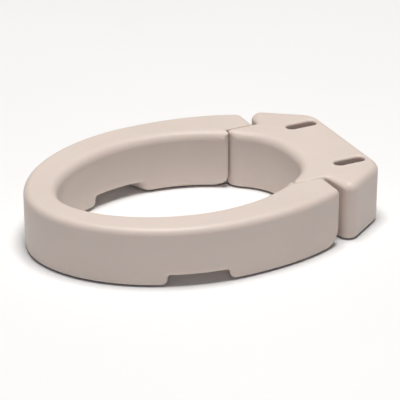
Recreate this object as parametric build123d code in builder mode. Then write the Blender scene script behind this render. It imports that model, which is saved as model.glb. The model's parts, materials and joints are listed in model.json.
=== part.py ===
from build123d import *
from math import cos, hypot, radians, sin
import os

# A two-piece riser for an elongated toilet bowl. A horseshoe ring lies on the rim of the bowl and
# is hinged to a rear block, which is bolted down under the user's own seat. Both are hollow blow
# mouldings. Millimetres. +Z is up and -Y is the front. The origin is under the middle of the
# whole length, on the plane that the rubber bumpers stand on.

# Both mouldings
height = 84.0
wall = 3.5
bumper_stand = 1.5  # how far a bumper stands out of the underside
underside = bumper_stand
top = underside + height
lower_radius = 5.5
far = 400.0  # reaches past every outline

# Ovals: half width, centre Y, reach to the front, reach to the rear, front power, rear power.
# A power of 2 is an ellipse, less is more pointed and more is squarer.
outer_oval = (181.0, -13.5, 230.7, 254.5, 1.905, 2.245)
opening_oval = (125.9, -22.5, 176.8, 170.1, 1.81, 2.11)

# Hinge: the legs of the ring lap the outside of the block's two prongs
prong_side = 102.0
lap_gap = 1.2
leg_side = prong_side + lap_gap
prong_front = 106.8
step_gap = 1.5
step_y = prong_front - step_gap  # rear face of the full ring section
leg_end = 152.6
pivot_y = prong_front + 20.0
pivot_z = top - 12.5
pin_radius = 5.0
pin_chamfer = 1.0
pin_in_prong = 20.0
pin_in_leg = 18.0
pin_end_play = 2.0
running_clearance = 0.06
boss_radius = 12.0
thrust_radius = 11.0
thrust_height = 0.8

# Edges of the ring
ring_outer_radius = 8.5
ring_opening_radius = 11.0
lap_radius = 3.0
leg_corner_radius = 9.0
leg_heel_radius = 24.0
ramp_start = 74.0  # the underside rises a little from here to the step
ramp_radius = 97.0

# Recess under each side of the ring, between two slanting lines: X, Y and slope of each
recess_height = 15.0
recess_front = (115.0, -91.7, -0.61)
recess_rear = (153.0, -23.7, -0.45)
recess_inner_x = 80.0  # the recess runs past both walls of the ring
recess_outer_x = 190.0
recess_lip_radius = 9.0
recess_root_radius = 3.0

# Rear block, where an ellipse carries on the line of the ring's opening
block_opening_y = 85.0
block_opening_half_width = 90.0
block_opening_reach = 66.6
block_rear = 244.2
rear_corner_x = 96.5
rear_corner_radius = 34.0
shoulder_x = 154.0
shoulder_y = 165.8
shoulder_y_at_lap = 156.0
shoulder_radius = 10.0
lap_root_radius = 5.0
prong_corner_radius = 8.5
block_edge_radius = 7.5

# Slots for the seat bolts
slot_spacing = 139.7
slot_y = 208.4
slot_length = 44.0
slot_width = 14.0
slot_edge_radius = 2.0

# Rubber bumpers, pushed into shallow sockets in the underside
bumper_radius = 9.0
bumper_socket = 1.5
bumper_edge_radius = 0.8
bumper_spots = {
    "front": (94.0, -170.0),
    "side": (147.0, 50.0),
    "rear": (104.0, 196.0),
}


def oval_face(oval, growth):
    """Egg-shaped oval, grown by a margin all round."""
    half_width, centre_y, front, rear, front_power, rear_power = oval
    points = []
    for degrees in range(0, 90, 10):
        x = (half_width + growth) * sin(radians(degrees)) ** (2 / front_power)
        y = centre_y - (front + growth) * cos(radians(degrees)) ** (2 / front_power)
        points.append((x, y))
    for degrees in range(0, 90, 10):
        x = (half_width + growth) * cos(radians(degrees)) ** (2 / rear_power)
        y = centre_y + (rear + growth) * sin(radians(degrees)) ** (2 / rear_power)
        points.append((x, y))
    points.append((0, centre_y + rear + growth))
    with BuildSketch(mode=Mode.PRIVATE) as oval_sketch:
        with BuildLine():
            right_side = Spline(points, tangents=((1, 0), (-1, 0)))
            mirror(right_side, about=Plane.YZ)
        make_face()
    return oval_sketch.sketch


def on_opening(point, growth):
    """Whether a point lies on the wall of the opening, grown by a margin."""
    half_width, centre_y, front, rear, front_power, rear_power = opening_oval
    ahead = point.Y < centre_y
    reach = (front if ahead else rear) + growth
    power = front_power if ahead else rear_power
    level = (abs(point.X) / (half_width + growth)) ** power + (abs(point.Y - centre_y) / reach) ** power
    return abs(level - 1) < 0.05


def flat_edges(part, level, test):
    """Edges that lie flat at one height and pass a test on their middle point."""
    return part.edges().filter_by(
        lambda edge: edge.bounding_box().size.Z < 0.01
        and abs((edge @ 0.5).Z - level) < 0.01
        and test(edge @ 0.5)
    )


def upright_edges(part, test):
    """Straight upright edges that pass a test on their middle point."""
    return part.edges().filter_by(Axis.Z).filter_by(lambda edge: test(edge @ 0.5))


def heel_waste(start, heel_radius, half_width, inset):
    """What is cut away behind a start where the underside curves up, as a bar along X."""
    with BuildPart(mode=Mode.PRIVATE) as waste:
        with BuildSketch(Plane.YZ):
            with Locations((start, underside + heel_radius)):
                Rectangle(2 * heel_radius, 2 * heel_radius, align=(Align.MIN, Align.MAX))
                Circle(heel_radius - inset, mode=Mode.SUBTRACT)
        extrude(amount=half_width, both=True)
    return waste.part


def across_recess(line, x, margin):
    """Y of one side of the recess at a distance from the middle plane, moved back by a margin."""
    line_x, line_y, slope = line
    return line_y + (x - line_x) * slope + margin * hypot(1, slope)


def hinge_rods(radius, start, length):
    """A rod on the pivot line at each side, running outwards."""
    with BuildPart(mode=Mode.PRIVATE) as rods:
        for hand in (-1, 1):
            with Locations(Plane((hand * start, pivot_y, pivot_z), z_dir=(hand, 0, 0))):
                Cylinder(radius, length, align=(Align.CENTER, Align.CENTER, Align.MIN))
    return rods.part


def ring_form(inset):
    """Outside of the ring, or with an inset the hollow inside it."""
    floor = underside + inset
    ceiling = top - inset
    step = step_y - inset
    end = leg_end - inset
    side = leg_side + inset
    with BuildPart(mode=Mode.PRIVATE) as form:
        with BuildSketch(Plane.XY.offset(floor)) as plan:
            add(oval_face(outer_oval, -inset))
            add(oval_face(opening_oval, inset), mode=Mode.SUBTRACT)
            with Locations((0, end)):
                Rectangle(far, far, align=(Align.CENTER, Align.MIN), mode=Mode.SUBTRACT)
            leg_corners = plan.vertices().group_by(Axis.Y)[-1].sort_by(Axis.X)
            fillet([leg_corners[0], leg_corners[-1]], leg_corner_radius - inset)
            with Locations((0, step)):
                Rectangle(2 * side, far, align=(Align.CENTER, Align.MIN), mode=Mode.SUBTRACT)
        extrude(amount=ceiling - floor)

        # recess under each side, with rounded lips and roots
        with BuildSketch(Plane.XY.offset(floor)):
            for hand in (-1, 1):
                with BuildLine():
                    Polyline(
                        (hand * recess_outer_x, across_recess(recess_front, recess_outer_x, -inset)),
                        (hand * recess_inner_x, across_recess(recess_front, recess_inner_x, -inset)),
                        (hand * recess_inner_x, across_recess(recess_rear, recess_inner_x, inset)),
                        (hand * recess_outer_x, across_recess(recess_rear, recess_outer_x, inset)),
                        close=True,
                    )
                make_face()
        extrude(amount=recess_height, mode=Mode.SUBTRACT)
        in_recess = lambda point: point.Y < 0 and not on_opening(point, inset) and abs(point.X) > 80
        crosswise = flat_edges(form.part, floor, in_recess).filter_by(GeomType.LINE)
        fillet(crosswise, recess_lip_radius - inset)
        crosswise = flat_edges(form.part, floor + recess_height, in_recess).filter_by(GeomType.LINE)
        fillet(crosswise, recess_root_radius + inset)

        # upper edges
        fillet(flat_edges(form.part, ceiling, lambda p: on_opening(p, inset)), ring_opening_radius - inset)
        fillet(flat_edges(form.part, ceiling, lambda p: abs(p.Y - step) < 0.1), lap_radius)
        fillet(flat_edges(form.part, ceiling, lambda p: abs(abs(p.X) - side) < 0.1), lap_radius)
        fillet(flat_edges(form.part, ceiling, lambda p: abs(p.Y - end) < 0.1), ring_outer_radius - inset)

        # lower edges
        fillet(flat_edges(form.part, floor, lambda p: abs(p.Y - end) < 0.1), lower_radius - inset)
        fillet(flat_edges(form.part, floor, lambda p: on_opening(p, inset)), lower_radius - inset)

        # heel of each leg, which swings down as the ring is lifted, and the rise to the step
        add(heel_waste(leg_end - leg_heel_radius, leg_heel_radius, far, inset), mode=Mode.SUBTRACT)
        add(heel_waste(ramp_start, ramp_radius, side, inset), mode=Mode.SUBTRACT)
    return form.part


def block_form(inset):
    """Outside of the rear block, or with an inset the hollow inside it."""
    floor = underside + inset
    ceiling = top - inset
    front = prong_front + inset
    with BuildPart(mode=Mode.PRIVATE) as form:
        with BuildSketch(Plane.XY.offset(floor)) as plan:
            with BuildLine():
                outline = Polyline(
                    (0, prong_front),
                    (prong_side, prong_front),
                    (prong_side, shoulder_y_at_lap),
                    (shoulder_x, shoulder_y),
                    (rear_corner_x, block_rear),
                    (0, block_rear),
                )
                mirror(outline, about=Plane.YZ)
            make_face()
            offset(amount=-inset, kind=Kind.INTERSECTION, mode=Mode.REPLACE)
            fillet(plan.vertices().group_by(Axis.Y)[-1], rear_corner_radius - inset)
            fillet(plan.vertices().filter_by_position(Axis.Y, 161, 171), shoulder_radius - inset)
            fillet(plan.vertices().filter_by_position(Axis.Y, 150, 160), lap_root_radius + inset)
        extrude(amount=ceiling - floor)
        with BuildSketch():
            with Locations((0, block_opening_y)):
                Ellipse(block_opening_half_width + inset, block_opening_reach + inset)
        extrude(amount=far, mode=Mode.SUBTRACT)
        fillet(upright_edges(form.part, lambda p: abs(p.Y - front) < 0.1), prong_corner_radius - inset)
        fillet(flat_edges(form.part, ceiling, lambda p: True), block_edge_radius - inset)
        fillet(flat_edges(form.part, floor, lambda p: True), lower_radius - inset)
        with BuildSketch(Plane.XY.offset(floor)):
            with GridLocations(slot_spacing, 1, 2, 1):
                with Locations((0, slot_y)):
                    SlotOverall(slot_length + 2 * inset, slot_width + 2 * inset, rotation=90)
        extrude(amount=ceiling - floor, mode=Mode.SUBTRACT)
    return form.part


def on_slot_rim(edge):
    """Whether an edge is on the upper or lower rim of a bolt slot."""
    point = edge @ 0.5
    in_slot = abs(abs(point.X) - slot_spacing / 2) < slot_width
    in_slot = in_slot and abs(point.Y - slot_y) < slot_length / 2 + 1
    return in_slot and edge.bounding_box().size.Z < 0.01


def bumper_spot(spot, hand):
    """Centre of a bumper on the floor plane, on one side of the body."""
    x, y = bumper_spots[spot]
    return (hand * x, y, 0)


# front_ring: hollow horseshoe with a blind pivot bore in each leg
with BuildPart() as ring_hollow:
    add(ring_form(wall))
    add(hinge_rods(boss_radius, leg_side, pin_in_leg + pin_end_play + wall), mode=Mode.SUBTRACT)

with BuildPart() as front_ring:
    add(ring_form(0))
    add(ring_hollow.part, mode=Mode.SUBTRACT)
    bore_depth = pin_in_leg + pin_end_play
    add(hinge_rods(pin_radius + running_clearance, leg_side, bore_depth), mode=Mode.SUBTRACT)
    with Locations([bumper_spot(spot, hand) for spot in ("front", "side") for hand in (-1, 1)]):
        Cylinder(
            bumper_radius,
            underside + bumper_socket,
            align=(Align.CENTER, Align.CENTER, Align.MIN),
            mode=Mode.SUBTRACT,
        )

# rear_block: hollow, with a solid boss for each pin and a walled slot for each seat bolt
with BuildPart() as block_hollow:
    add(block_form(wall))
    boss_start = prong_side - pin_in_prong - wall
    add(hinge_rods(boss_radius, boss_start, pin_in_prong + wall), mode=Mode.SUBTRACT)

with BuildPart() as rear_block:
    add(block_form(0))
    fillet(rear_block.edges().filter_by(on_slot_rim), slot_edge_radius)
    add(block_hollow.part, mode=Mode.SUBTRACT)
    add(hinge_rods(thrust_radius, prong_side - wall, wall + thrust_height))
    add(hinge_rods(pin_radius, prong_side - pin_in_prong, 2 * pin_in_prong), mode=Mode.SUBTRACT)
    with Locations([bumper_spot("rear", hand) for hand in (-1, 1)]):
        Cylinder(
            bumper_radius,
            underside + bumper_socket,
            align=(Align.CENTER, Align.CENTER, Align.MIN),
            mode=Mode.SUBTRACT,
        )

# hinge pins: pressed into the prongs, running in the legs
pins = {}
for side_name, hand in (("left", 1), ("right", -1)):
    pin_length = pin_in_prong + lap_gap + pin_in_leg
    pin_root = Plane((hand * (prong_side - pin_in_prong), pivot_y, pivot_z), z_dir=(hand, 0, 0))
    with BuildPart(pin_root) as hinge_pin:
        Cylinder(pin_radius, pin_length, align=(Align.CENTER, Align.CENTER, Align.MIN))
        chamfer(hinge_pin.edges().filter_by(GeomType.CIRCLE), pin_chamfer)
    pins[f"hinge_pin_{side_name}"] = hinge_pin.part

# rubber bumpers: flat plugs with a softened lower edge
bumpers = {}
for spot in bumper_spots:
    for side_name, hand in (("left", 1), ("right", -1)):
        with BuildPart(Plane(bumper_spot(spot, hand))) as bumper:
            height_over_all = underside + bumper_socket
            Cylinder(bumper_radius, height_over_all, align=(Align.CENTER, Align.CENTER, Align.MIN))
            fillet(bumper.edges().filter_by(GeomType.CIRCLE).group_by(Axis.Z)[0], bumper_edge_radius)
        bumpers[f"bumper_{spot}_{side_name}"] = bumper.part

pieces = {"front_ring": front_ring.part, "rear_block": rear_block.part, **pins, **bumpers}
os.makedirs("parts", exist_ok=True)
for label, piece in pieces.items():
    piece.label = label
    export_step(piece, f"parts/{label}.step")
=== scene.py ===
"""Looks of the hinged toilet seat riser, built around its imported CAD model.

The two hollow mouldings are modelled as solids with rounded edges, each described by one function
that is negative inside the plastic. A net of quads is drawn over its zero surface. Sizes in these
functions are in millimetres; every Blender object is in metres, in the frame of the CAD model.
"""
import json
import math

import bpy
import numpy as np
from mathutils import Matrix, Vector


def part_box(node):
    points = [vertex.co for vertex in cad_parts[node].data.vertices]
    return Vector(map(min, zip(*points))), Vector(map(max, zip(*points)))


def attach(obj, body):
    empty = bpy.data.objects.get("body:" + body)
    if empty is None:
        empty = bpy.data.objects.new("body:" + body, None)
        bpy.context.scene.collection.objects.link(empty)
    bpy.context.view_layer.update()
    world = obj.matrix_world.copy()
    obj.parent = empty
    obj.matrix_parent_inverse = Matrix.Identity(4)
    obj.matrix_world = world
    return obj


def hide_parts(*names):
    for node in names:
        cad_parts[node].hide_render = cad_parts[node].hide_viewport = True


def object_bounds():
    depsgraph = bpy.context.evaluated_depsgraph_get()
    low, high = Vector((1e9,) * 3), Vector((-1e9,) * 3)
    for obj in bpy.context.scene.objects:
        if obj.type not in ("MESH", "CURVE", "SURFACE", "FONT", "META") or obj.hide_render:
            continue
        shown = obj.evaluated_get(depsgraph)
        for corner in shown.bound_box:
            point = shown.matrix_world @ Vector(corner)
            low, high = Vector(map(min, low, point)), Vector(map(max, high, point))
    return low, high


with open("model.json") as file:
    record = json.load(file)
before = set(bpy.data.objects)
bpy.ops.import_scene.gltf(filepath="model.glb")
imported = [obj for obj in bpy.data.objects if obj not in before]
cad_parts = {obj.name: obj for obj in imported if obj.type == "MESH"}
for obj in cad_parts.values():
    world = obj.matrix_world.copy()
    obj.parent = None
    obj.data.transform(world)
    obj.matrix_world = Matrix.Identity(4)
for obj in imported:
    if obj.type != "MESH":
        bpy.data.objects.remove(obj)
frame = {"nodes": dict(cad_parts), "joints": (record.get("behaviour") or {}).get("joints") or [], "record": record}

MM = 0.001
cad_low, cad_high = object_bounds()

# ---------------------------------------------------------------- sizes taken from the CAD model
ring_low, ring_high = (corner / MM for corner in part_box("front_ring"))
block_low, block_high = (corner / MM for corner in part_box("rear_block"))
hinge = Vector(frame["joints"][0]["pos_m"]) / MM
mounts = {mount["name"]: mount for mount in frame["record"]["mounts"]}
seat_bolt = mounts["bolt_slot_left"]
slot_centre = Vector(seat_bolt["pos_m"]) / MM

far = 200.0  # past every outline
underside = ring_low.z
top = ring_high.z
leg_end = ring_high.y
block_rear = block_high.y

# ---------------------------------------------------------------- sizes of the ring
# Ovals: half width, centre Y, reach to the front, reach to the rear, front power, rear power
oval_centre_y = -13.5
outer_oval = (ring_high.x, oval_centre_y, oval_centre_y - ring_low.y, 254.5, 1.905, 2.245)
opening_oval = (125.9, -22.5, 176.8, 170.1, 1.81, 2.11)
draft = 0.016  # the outer walls lean in towards the underside
edge_blend_start = 12.0  # height at which lower edge radii begin to give way to upper ones
edge_blend_margins = 28.0  # height below and above the stretch where they change
leg_side = 103.2  # inner face of each leg
step_y = 105.3  # end of the full section, in front of the prongs
ramp_start = 74.0  # where the underside of the full section begins to rise towards its end
ramp_radius = 97.0
step_heel_radius = 12.0
leg_heel_radius = 24.0
step_top_radius = 3.5
leg_top_radius = 12.0
lap_radius = 2.5
step_root_radius = 2.5
outer_top_radius = 10.5
opening_top_radius = 13.0
outer_lower_radius = 5.5
opening_lower_radius = 8.5
step_corner_radius = 4.5  # upright corner between the opening and the step
leg_corner_radius = 10.0  # upright outer corner of each leg
recess_ceiling = underside + 15.0
# A line across the ring, as a point on it and its slope in plan; and the radius of its lip
recess_front = ((115.0, -91.7), -0.61, 9.0)
recess_rear = ((153.0, -23.7), -0.45, 12.0)
recess_root_radius = 3.0
pin_end_play = 2.0
bore_radius = 5.1
bore_lip_radius = 1.0
pin_root, pin_end = (corner.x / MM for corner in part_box("hinge_pin_left"))
ring_pitch = 2.0  # of the net over the surface

# ---------------------------------------------------------------- sizes of the block
prong_side = 102.0
prong_front = block_low.y
block_opening = (104.0, 10.0, 141.6, 141.6, 2.56, 2.56)
shoulder_at_lap = (prong_side, 156.0)
shoulder_corner = (152.3, 166.8)
rear_corner = (96.5, block_rear)
rear_corner_radius = 34.0
shoulder_radius = 14.0
shoulder_root_radius = 7.0
prong_corner_radius = 32.0  # between the opening and the front of each prong
prong_corner_cosine = 0.6
lap_corner_radius = 3.5  # upright outer corner of each prong
lap_edge_radius = 5.0  # upper edge of each prong along the lap
block_top_radius = 11.5
block_opening_radius = 12.5
slot_edge_radius = 3.6
slot_draft = 0.015
prong_bore_lip_radius = 0.5
thrust_face_radius = 11.0
thrust_face_side = 102.8  # a round face on each prong takes the thrust of the leg
thrust_face_sunk = 3.0
thrust_face_root_radius = 0.3
edge_change_width = 12.0  # over which one edge radius gives way to another along an edge
block_pitch = 1.5


# ---------------------------------------------------------------- solids as functions of x, y, z
def both(a, b, radius, cosine=0.0):
    """What two solids share, with the edge between them rounded.

    The cosine is that of the angle between the outward directions of the two walls.
    """
    u, v = a + radius, b + radius
    reach = np.sqrt(np.maximum(u * u + v * v - 2 * cosine * u * v, 0) / (1 - cosine**2))
    return np.where((u > cosine * v) & (v > cosine * u), reach - radius, np.maximum(a, b))


def either(a, b, radius, cosine=0.0):
    """Two solids together, with a fillet where they meet."""
    return -both(-a, -b, radius, cosine)


def oval_wall(x, y, oval):
    """Distance outside an egg-shaped oval."""
    half_width, centre_y, front, rear, front_power, rear_power = oval
    ahead = y < centre_y
    power = np.where(ahead, front_power, rear_power)
    reach = np.where(ahead, front, rear)
    across = np.abs(x) / half_width + 1e-9
    along = np.abs(y - centre_y) / reach + 1e-9
    size = (across**power + along**power) ** (1 / power)
    slope = np.hypot((across / size) ** (power - 1) / half_width, (along / size) ** (power - 1) / reach)
    return (size - 1) / slope


def facing(start, end):
    """Direction to the right of the line from start to end, in plan."""
    run_x, run_y = end[0] - start[0], end[1] - start[1]
    length = math.hypot(run_x, run_y)
    return run_y / length, -run_x / length


def line_wall(side, y, start, end):
    """Distance to the right of the line from start to end, in plan."""
    right_x, right_y = facing(start, end)
    return (side - start[0]) * right_x + (y - start[1]) * right_y


def ramp(y):
    """How far the underside of the full section rises towards its end."""
    return np.maximum(y - ramp_start, 0) ** 2 / (2 * ramp_radius)


def side_profile(y, z, bottom, end, heel_radius, top_radius):
    """Everything between underside and top up to an end face with a rounded heel."""
    heel = both(y - end, bottom - z, heel_radius)
    return both(heel, z - top, top_radius)


def across_ring(side, y, line):
    """Distance behind a line across the ring."""
    (line_x, line_y), slope, lip = line
    return (y - line_y - (side - line_x) * slope) / math.hypot(1, slope)


def recess_space(side, y, z):
    """The finger recess that crosses the underside of the ring on each hand."""
    ends = np.maximum(-across_ring(side, y, recess_front), across_ring(side, y, recess_rear))
    return both(ends, z - recess_ceiling, recess_root_radius)


def from_below(z, lower, upper):
    """A radius that grows smoothly from the lower edge of a wall to its upper edge."""
    rise = np.clip((z - underside - edge_blend_start) / (top - underside - edge_blend_margins), 0, 1)
    return lower + (upper - lower) * rise * rise * (3 - 2 * rise)


def pin_bore(side, y, z, start, end):
    """Round space on the hinge line between two distances from the middle plane."""
    rod = np.hypot(y - hinge.y, z - hinge.z) - bore_radius
    return np.maximum(rod, np.maximum(start - side, side - end))


def ring_walls(x, y, z):
    """Distances outside the ring's outer wall and inside its opening."""
    return oval_wall(x, y, outer_oval) + draft * (top - z), -oval_wall(x, y, opening_oval)


def ring_profile(side, y, z):
    """The ring as it would be with endless width: its top, underside, step and leg ends."""
    full_part = side_profile(y, z, underside + ramp(y), step_y, step_heel_radius, step_top_radius)
    lean = draft * (top - z)
    leg_part = side_profile(y + lean, z, underside, leg_end, leg_heel_radius, leg_top_radius)
    leg_part = both(leg_part, leg_side - side, lap_radius)
    body = either(full_part, leg_part, step_root_radius)
    return np.maximum(body, np.maximum(z - top, underside - z))


def rearward(distance, x, y, z):
    """How far a distance faces the rear, from -1 to 1 for a distance that grows evenly."""
    nudge = 0.1
    return (distance(x, y + nudge, z) - distance(x, y - nudge, z)) / (2 * nudge)


def ring_solid(x, y, z):
    """The horseshoe ring with its two legs."""
    side = np.abs(x)
    outer, opening = ring_walls(x, y, z)
    body = ring_profile(side, y, z)
    walls_face_rear = rearward(lambda *place: np.maximum(*ring_walls(*place)), x, y, z)
    body_faces_rear = rearward(ring_profile, side, y, z)
    cosine = np.clip(walls_face_rear * body_faces_rear, -0.9, 0.9)  # short of parallel walls
    lip_radius = np.where(y < (recess_front[0][1] + recess_rear[0][1]) / 2, recess_front[2], recess_rear[2])
    body = both(body, -recess_space(side, y, z), lip_radius)
    outer_radius = from_below(z, outer_lower_radius, outer_top_radius)
    opening_radius = from_below(z, opening_lower_radius, opening_top_radius)
    faces_rear = np.clip(body_faces_rear, 0, 1)
    opening_radius = opening_radius + (step_corner_radius - opening_radius) * faces_rear
    outer_radius = outer_radius + (leg_corner_radius - outer_radius) * faces_rear
    edge_radius = np.where(outer > opening, outer_radius, opening_radius)
    solid = both(np.maximum(outer, opening), body, edge_radius, cosine)
    return both(solid, -pin_bore(side, y, z, 0, pin_end + pin_end_play), bore_lip_radius)


def block_outline(side, y, lean):
    """Distance outside the block's outline, without the opening."""
    slant_x, slant_y = facing(shoulder_corner, rear_corner)
    front_x, front_y = facing(shoulder_at_lap, shoulder_corner)
    slanted = line_wall(side, y, shoulder_corner, rear_corner) + lean
    shoulder = line_wall(side, y, shoulder_at_lap, shoulder_corner)
    body = both(y - block_rear + lean, slanted, rear_corner_radius, slant_y)
    body = both(body, shoulder, shoulder_radius, slant_x * front_x + slant_y * front_y)
    prongs = np.maximum(side - prong_side, y - slot_centre.y)
    outline = either(body, prongs, shoulder_root_radius, front_x)
    return both(outline, prong_front - y, lap_corner_radius)


def slot_space(side, y, z):
    """The slot for a seat bolt on each hand, which widens a little towards the top."""
    radius = seat_bolt["dims"]["hole_r_mm"]
    half_straight = seat_bolt["dims"]["slot_length_mm"] / 2 - radius
    past_straight = np.maximum(np.abs(y - slot_centre.y) - half_straight, 0)
    return np.hypot(side - slot_centre.x, past_straight) - radius - slot_draft * (z - underside)


def block_solid(x, y, z):
    """The rear block with its two prongs and two slots."""
    side = np.abs(x)
    outline = block_outline(side, y, draft * (top - z))
    opening = -oval_wall(x, y, block_opening)
    plan = both(outline, opening, prong_corner_radius, prong_corner_cosine)
    outer_radius = from_below(z, outer_lower_radius, block_top_radius)
    opening_radius = from_below(z, outer_lower_radius, block_opening_radius)
    facing_opening = np.clip((opening - outline) / edge_change_width + 0.5, 0, 1)
    along_lap = np.clip((shoulder_corner[1] - y) / edge_change_width, 0, 1)
    outer_radius = outer_radius + (np.minimum(lap_edge_radius, outer_radius) - outer_radius) * along_lap
    edge_radius = outer_radius + (opening_radius - outer_radius) * facing_opening
    solid = both(plan, np.maximum(z - top, underside - z), edge_radius)
    solid = both(solid, -slot_space(side, y, z), slot_edge_radius)
    thrust_face = np.maximum(prong_side - thrust_face_sunk - side, side - thrust_face_side)
    from_hinge = np.hypot(y - hinge.y, z - hinge.z)
    thrust_disc = np.maximum(from_hinge - thrust_face_radius, thrust_face)
    solid = either(solid, thrust_disc, thrust_face_root_radius)
    return both(solid, -pin_bore(side, y, z, pin_root, far), prong_bore_lip_radius)


# ---------------------------------------------------------------- meshes
def slope_of(solid, points):
    """Gradient of a solid's function at each point."""
    nudge = 0.1
    slope = np.empty_like(points)
    for axis in range(3):
        shift = np.zeros(3)
        shift[axis] = nudge
        ahead, behind = (points + shift).T, (points - shift).T
        slope[:, axis] = (solid(*ahead) - solid(*behind)) / (2 * nudge)
    return slope


def net_over(solid, low, high, pitch):
    """Points and outward quads of a net over the zero surface of a solid, on a cubic grid."""
    low = np.array(low) - 2 * pitch
    counts = np.ceil((np.array(high) + 2 * pitch - low) / pitch).astype(int) + 1
    x, y, z = (low[axis] + pitch * np.arange(counts[axis]) for axis in range(3))
    values = solid(x[:, None, None], y[None, :, None], z[None, None, :])
    cells = counts - 1
    total = np.zeros((3, *cells))
    crossings = np.zeros(cells)
    quads = []
    edges = []
    for axis in range(3):
        near = np.take(values, range(0, counts[axis] - 1), axis)
        beyond = np.take(values, range(1, counts[axis]), axis)
        crosses = (near < 0) != (beyond < 0)
        share = np.where(crosses, near / np.where(crosses, near - beyond, 1), 0)
        edges.append((crosses, near < 0))
        others = [other for other in range(3) if other != axis]
        for first in (0, 1):
            for second in (0, 1):
                window = [slice(None)] * 3
                window[others[0]] = slice(first, first + cells[others[0]])
                window[others[1]] = slice(second, second + cells[others[1]])
                window = tuple(window)
                total[axis] += share[window]
                total[others[0]] += first * crosses[window]
                total[others[1]] += second * crosses[window]
                crossings += crosses[window]
    active = crossings > 0
    index = np.full(cells, -1)
    index[active] = np.arange(active.sum())
    where = np.argwhere(active)
    points = low + pitch * (where + (total[:, active] / crossings[active]).T)
    for axis, (crosses, starts_inside) in enumerate(edges):
        others = [(axis + 1) % 3, (axis + 2) % 3]
        place = np.argwhere(crosses)
        place = place[(place[:, others] > 0).all(1) & (place[:, others] < cells[others]).all(1)]
        flips = ~starts_inside[tuple(place.T)]
        ring = []
        for back_first, back_second in ((1, 1), (0, 1), (0, 0), (1, 0)):
            cell = place.copy()
            cell[:, others[0]] -= back_first
            cell[:, others[1]] -= back_second
            ring.append(index[tuple(cell.T)])
        quad = np.stack(ring, 1)
        quad[flips] = quad[flips][:, ::-1]
        quads.append(quad)
    return points, np.concatenate(quads)


def even_out(solid, points, quads, pitch):
    """Spreads the points of a net evenly and sets them exactly on the surface."""
    for relaxing in (True, True, False, False):
        if relaxing:
            total = np.zeros_like(points)
            count = np.zeros(len(points))
            for corner in range(4):
                here, there = quads[:, corner], quads[:, (corner + 1) % 4]
                np.add.at(total, here, points[there])
                np.add.at(total, there, points[here])
                np.add.at(count, here, 1)
                np.add.at(count, there, 1)
            points = points + 0.6 * (total / count[:, None] - points)
        slope = slope_of(solid, points)
        step = solid(*points.T) / np.maximum((slope**2).sum(1), 0.05)
        points = points - slope * np.clip(step, -pitch, pitch)[:, None]
    return points


def bend_of(points, quads, normals):
    """How sharply the surface bends outward at each point, per millimetre."""
    bend = np.zeros(len(points))
    count = np.zeros(len(points))
    for corner in range(4):
        here, there = quads[:, corner], quads[:, (corner + 1) % 4]
        reach = points[there] - points[here]
        turn = ((normals[there] - normals[here]) * reach).sum(1) / np.maximum((reach**2).sum(1), 1e-6)
        np.add.at(bend, here, turn)
        np.add.at(bend, there, turn)
        np.add.at(count, here, 1)
        np.add.at(count, there, 1)
    return bend / count


def moulded_piece(name, solid, low, high, pitch):
    """A Blender object with the outside surface of a moulding."""
    points, quads = net_over(solid, low, high, pitch)
    points = even_out(solid, points, quads, pitch)
    normals = slope_of(solid, points)
    normals /= np.linalg.norm(normals, axis=1)[:, None]
    mesh = bpy.data.meshes.new(name)
    mesh.from_pydata((points * MM).tolist(), [], quads.tolist())
    mesh.update()
    mesh.shade_smooth()
    mesh.normals_split_custom_set_from_vertices(normals.tolist())
    bend = mesh.attributes.new("bend", "FLOAT", "POINT")
    bend.data.foreach_set("value", bend_of(points, quads, normals).astype(np.float32))
    piece = bpy.data.objects.new(name, mesh)
    bpy.context.scene.collection.objects.link(piece)
    return piece


# ---------------------------------------------------------------- materials
class Nodes:
    """Short way to add and link shader nodes."""

    def __init__(self, name):
        self.material = bpy.data.materials.new(name)
        self.material.use_nodes = True
        self.tree = self.material.node_tree
        self.shader = self.tree.nodes["Principled BSDF"]
        self.coordinates = self.tree.nodes.new("ShaderNodeTexCoord").outputs["Object"]

    def add(self, kind, settings=None, **inputs):
        node = self.tree.nodes.new(kind)
        for key, value in (settings or {}).items():
            setattr(node, key, value)
        for key, value in inputs.items():
            self.put(node.inputs[key.replace("_", " ")], value)
        return node

    def put(self, socket, value):
        if isinstance(value, bpy.types.NodeSocket):
            self.tree.links.new(value, socket)
        else:
            socket.default_value = value

    def noise(self, scale, detail=2.0, roughness=0.5):
        return self.add(
            "ShaderNodeTexNoise", Vector=self.coordinates, Scale=scale, Detail=detail, Roughness=roughness
        ).outputs["Fac"]

    def mapped(self, value, low, high, to_low, to_high):
        node = self.add("ShaderNodeMapRange", Value=value)
        for key, number in zip(("From Min", "From Max", "To Min", "To Max"), (low, high, to_low, to_high)):
            node.inputs[key].default_value = number
        return node.outputs["Result"]

    def mixed(self, share, first, second):
        node = self.add("ShaderNodeMix", {"data_type": "RGBA"})
        self.put(node.inputs["Factor"], share)
        self.put(node.inputs["A"], first)
        self.put(node.inputs["B"], second)
        return node.outputs["Result"]

    def math(self, operation, first, second):
        node = self.add("ShaderNodeMath", {"operation": operation})
        self.put(node.inputs[0], first)
        self.put(node.inputs[1], second)
        return node.outputs[0]

    def bump(self, height, strength, distance, normal=None):
        node = self.add("ShaderNodeBump", Height=height, Strength=strength, Distance=distance)
        if normal is not None:
            self.tree.links.new(normal, node.inputs["Normal"])
        return node.outputs["Normal"]


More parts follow.
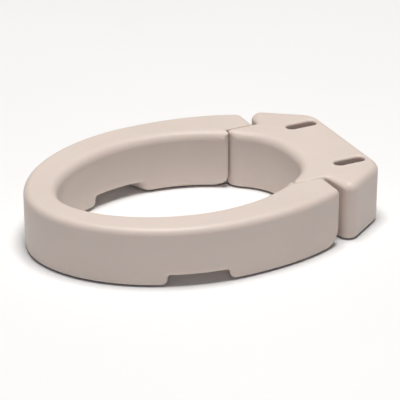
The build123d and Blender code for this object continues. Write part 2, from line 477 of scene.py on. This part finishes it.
def moulded_plastic():
    """Satin cream polyethylene with the fine grain of a blow mould."""
    nodes = Nodes("moulded_plastic")
    cloudy = nodes.mapped(nodes.noise(9.0, 3.0), 0.3, 0.7, 0.0, 1.0)
    colour = nodes.mixed(cloudy, (0.680, 0.582, 0.522, 1), (0.710, 0.608, 0.546, 1))
    bend = nodes.add("ShaderNodeAttribute", {"attribute_name": "bend"}).outputs["Fac"]
    edge = nodes.mapped(bend, 0.02, 0.12, 0.0, 1.0)
    speckle = nodes.mapped(nodes.noise(120.0, 4.0, 0.7), 0.45, 0.75, 0.0, 0.35)
    rubbed = nodes.math("MULTIPLY", edge, speckle)
    colour = nodes.mixed(rubbed, colour, (0.78, 0.69, 0.63, 1))
    nodes.put(nodes.shader.inputs["Base Color"], colour)
    patchy = nodes.mapped(nodes.noise(26.0, 3.0), 0.3, 0.7, 0.44, 0.52)
    smoother = nodes.math("MULTIPLY", edge, 0.06)
    nodes.put(nodes.shader.inputs["Roughness"], nodes.math("SUBTRACT", patchy, smoother))
    waviness = nodes.bump(nodes.noise(16.0, 2.0), 0.25, 0.0012)
    grain = nodes.bump(nodes.noise(1300.0, 2.0, 0.6), 0.22, 0.00012, waviness)
    nodes.put(nodes.shader.inputs["Normal"], grain)
    nodes.shader.inputs["IOR"].default_value = 1.5
    nodes.shader.inputs["Specular IOR Level"].default_value = 0.4
    nodes.shader.inputs["Subsurface Weight"].default_value = 0.35
    nodes.shader.inputs["Subsurface Radius"].default_value = (1.0, 0.62, 0.42)
    nodes.shader.inputs["Subsurface Scale"].default_value = 0.010
    return nodes.material


def turned_steel():
    """Stainless pin with fine turning marks round its length."""
    nodes = Nodes("turned_steel")
    stretched = nodes.add("ShaderNodeMapping", Vector=nodes.coordinates)
    stretched.inputs["Scale"].default_value = (9000.0, 200.0, 200.0)
    marks = nodes.add("ShaderNodeTexNoise", Vector=stretched.outputs["Vector"], Scale=1.0, Detail=3.0)
    colour = nodes.mixed(marks.outputs["Fac"], (0.53, 0.53, 0.51, 1), (0.66, 0.66, 0.64, 1))
    nodes.put(nodes.shader.inputs["Base Color"], colour)
    nodes.put(nodes.shader.inputs["Roughness"], nodes.mapped(marks.outputs["Fac"], 0.3, 0.7, 0.22, 0.4))
    nodes.put(nodes.shader.inputs["Normal"], nodes.bump(marks.outputs["Fac"], 0.15, 0.00005))
    nodes.shader.inputs["Metallic"].default_value = 1.0
    return nodes.material


def moulded_rubber():
    """Matt black rubber with a slight bloom."""
    nodes = Nodes("moulded_rubber")
    bloom = nodes.mapped(nodes.noise(300.0, 4.0), 0.35, 0.7, 0.0, 1.0)
    colour = nodes.mixed(bloom, (0.020, 0.020, 0.022, 1), (0.042, 0.041, 0.040, 1))
    nodes.put(nodes.shader.inputs["Base Color"], colour)
    nodes.put(nodes.shader.inputs["Roughness"], nodes.mapped(bloom, 0.0, 1.0, 0.68, 0.85))
    nodes.put(nodes.shader.inputs["Normal"], nodes.bump(nodes.noise(2500.0, 2.0), 0.3, 0.0001))
    return nodes.material


def pale_paper():
    """Floor of the studio."""
    nodes = Nodes("pale_paper")
    tone = nodes.mapped(nodes.noise(3.0), 0.3, 0.7, 0.0, 1.0)
    colour = nodes.mixed(tone, (0.855, 0.855, 0.855, 1), (0.865, 0.865, 0.865, 1))
    nodes.put(nodes.shader.inputs["Base Color"], colour)
    nodes.shader.inputs["Roughness"].default_value = 0.9
    nodes.shader.inputs["Specular IOR Level"].default_value = 0.1
    return nodes.material


# ---------------------------------------------------------------- stage
def floor():
    """Sheet that the object stands on."""
    half = 4.0
    mesh = bpy.data.meshes.new("floor")
    corners = [(-half, -half, 0), (half, -half, 0), (half, half, 0), (-half, half, 0)]
    mesh.from_pydata(corners, [], [(0, 1, 2, 3)])
    sheet = bpy.data.objects.new("floor", mesh)
    sheet.data.materials.append(pale_paper())
    bpy.context.scene.collection.objects.link(sheet)


def from_centre(azimuth, elevation, distance):
    """Point at a distance from the middle of the object. Azimuth 0 is in front, 90 on its left."""
    turn, rise = math.radians(azimuth), math.radians(elevation)
    level = math.cos(rise)
    way = Vector((math.sin(turn) * level, -math.cos(turn) * level, math.sin(rise)))
    return (cad_low + cad_high) / 2 + way * distance


def aimed(thing, target):
    """Turns a camera or a lamp towards a point."""
    thing.rotation_mode = "QUATERNION"
    thing.rotation_quaternion = (target - thing.location).to_track_quat("-Z", "Y")


def camera():
    """Long lens, on the left of the object and a little in front of it."""
    data = bpy.data.cameras.new("camera")
    data.sensor_width = 36.0
    data.lens = 335.7
    data.clip_end = 50.0
    shot = bpy.data.objects.new("camera", data)
    bpy.context.scene.collection.objects.link(shot)
    drift = Vector((11.4, 5.9, 0.6)) * MM  # the object stands a little off the middle of the view
    shot.location = from_centre(azimuth=62.88, elevation=24.76, distance=5.15) + drift
    aimed(shot, (cad_low + cad_high) / 2 + drift)
    bpy.context.scene.camera = shot


def soft_light(name, place, size, power, colour):
    """Round area lamp that points at the middle of the object."""
    data = bpy.data.lights.new(name, "AREA")
    data.shape = "DISK"
    data.size = size
    data.energy = power
    data.color = colour
    lamp = bpy.data.objects.new(name, data)
    bpy.context.scene.collection.objects.link(lamp)
    lamp.location = place
    aimed(lamp, (cad_low + cad_high) / 2)


def lighting():
    """Large lamp overhead, cool fill beside the camera and a dim sky."""
    world = bpy.data.worlds.new("studio")
    world.use_nodes = True
    background = world.node_tree.nodes["Background"]
    background.inputs["Color"].default_value = (0.93, 0.96, 1.0, 1)
    background.inputs["Strength"].default_value = 0.08
    bpy.context.scene.world = world
    overhead = from_centre(azimuth=80, elevation=87, distance=5.0)
    soft_light("overhead", overhead, size=2.5, power=284.0, colour=(1.0, 0.985, 0.965))
    beside_camera = from_centre(azimuth=62, elevation=25, distance=3.0)
    soft_light("fill", beside_camera, size=1.8, power=3.5, colour=(0.50, 0.62, 1.0))


# ---------------------------------------------------------------- the object
plastic = moulded_plastic()
steel = turned_steel()
rubber = moulded_rubber()

ring = moulded_piece("ring_moulding", ring_solid, ring_low, ring_high, ring_pitch)
ring.data.materials.append(plastic)
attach(ring, "ring")
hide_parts("front_ring")

block = moulded_piece("block_moulding", block_solid, block_low, block_high, block_pitch)
block.data.materials.append(plastic)
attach(block, "block")
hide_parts("rear_block")

for node, piece in frame["nodes"].items():
    if node.startswith("hinge_pin"):
        piece.data.materials.clear()
        piece.data.materials.append(steel)
    if node.startswith("bumper"):
        piece.data.materials.clear()
        piece.data.materials.append(rubber)

floor()
camera()
lighting()
bpy.context.scene.view_settings.view_transform = "Standard"
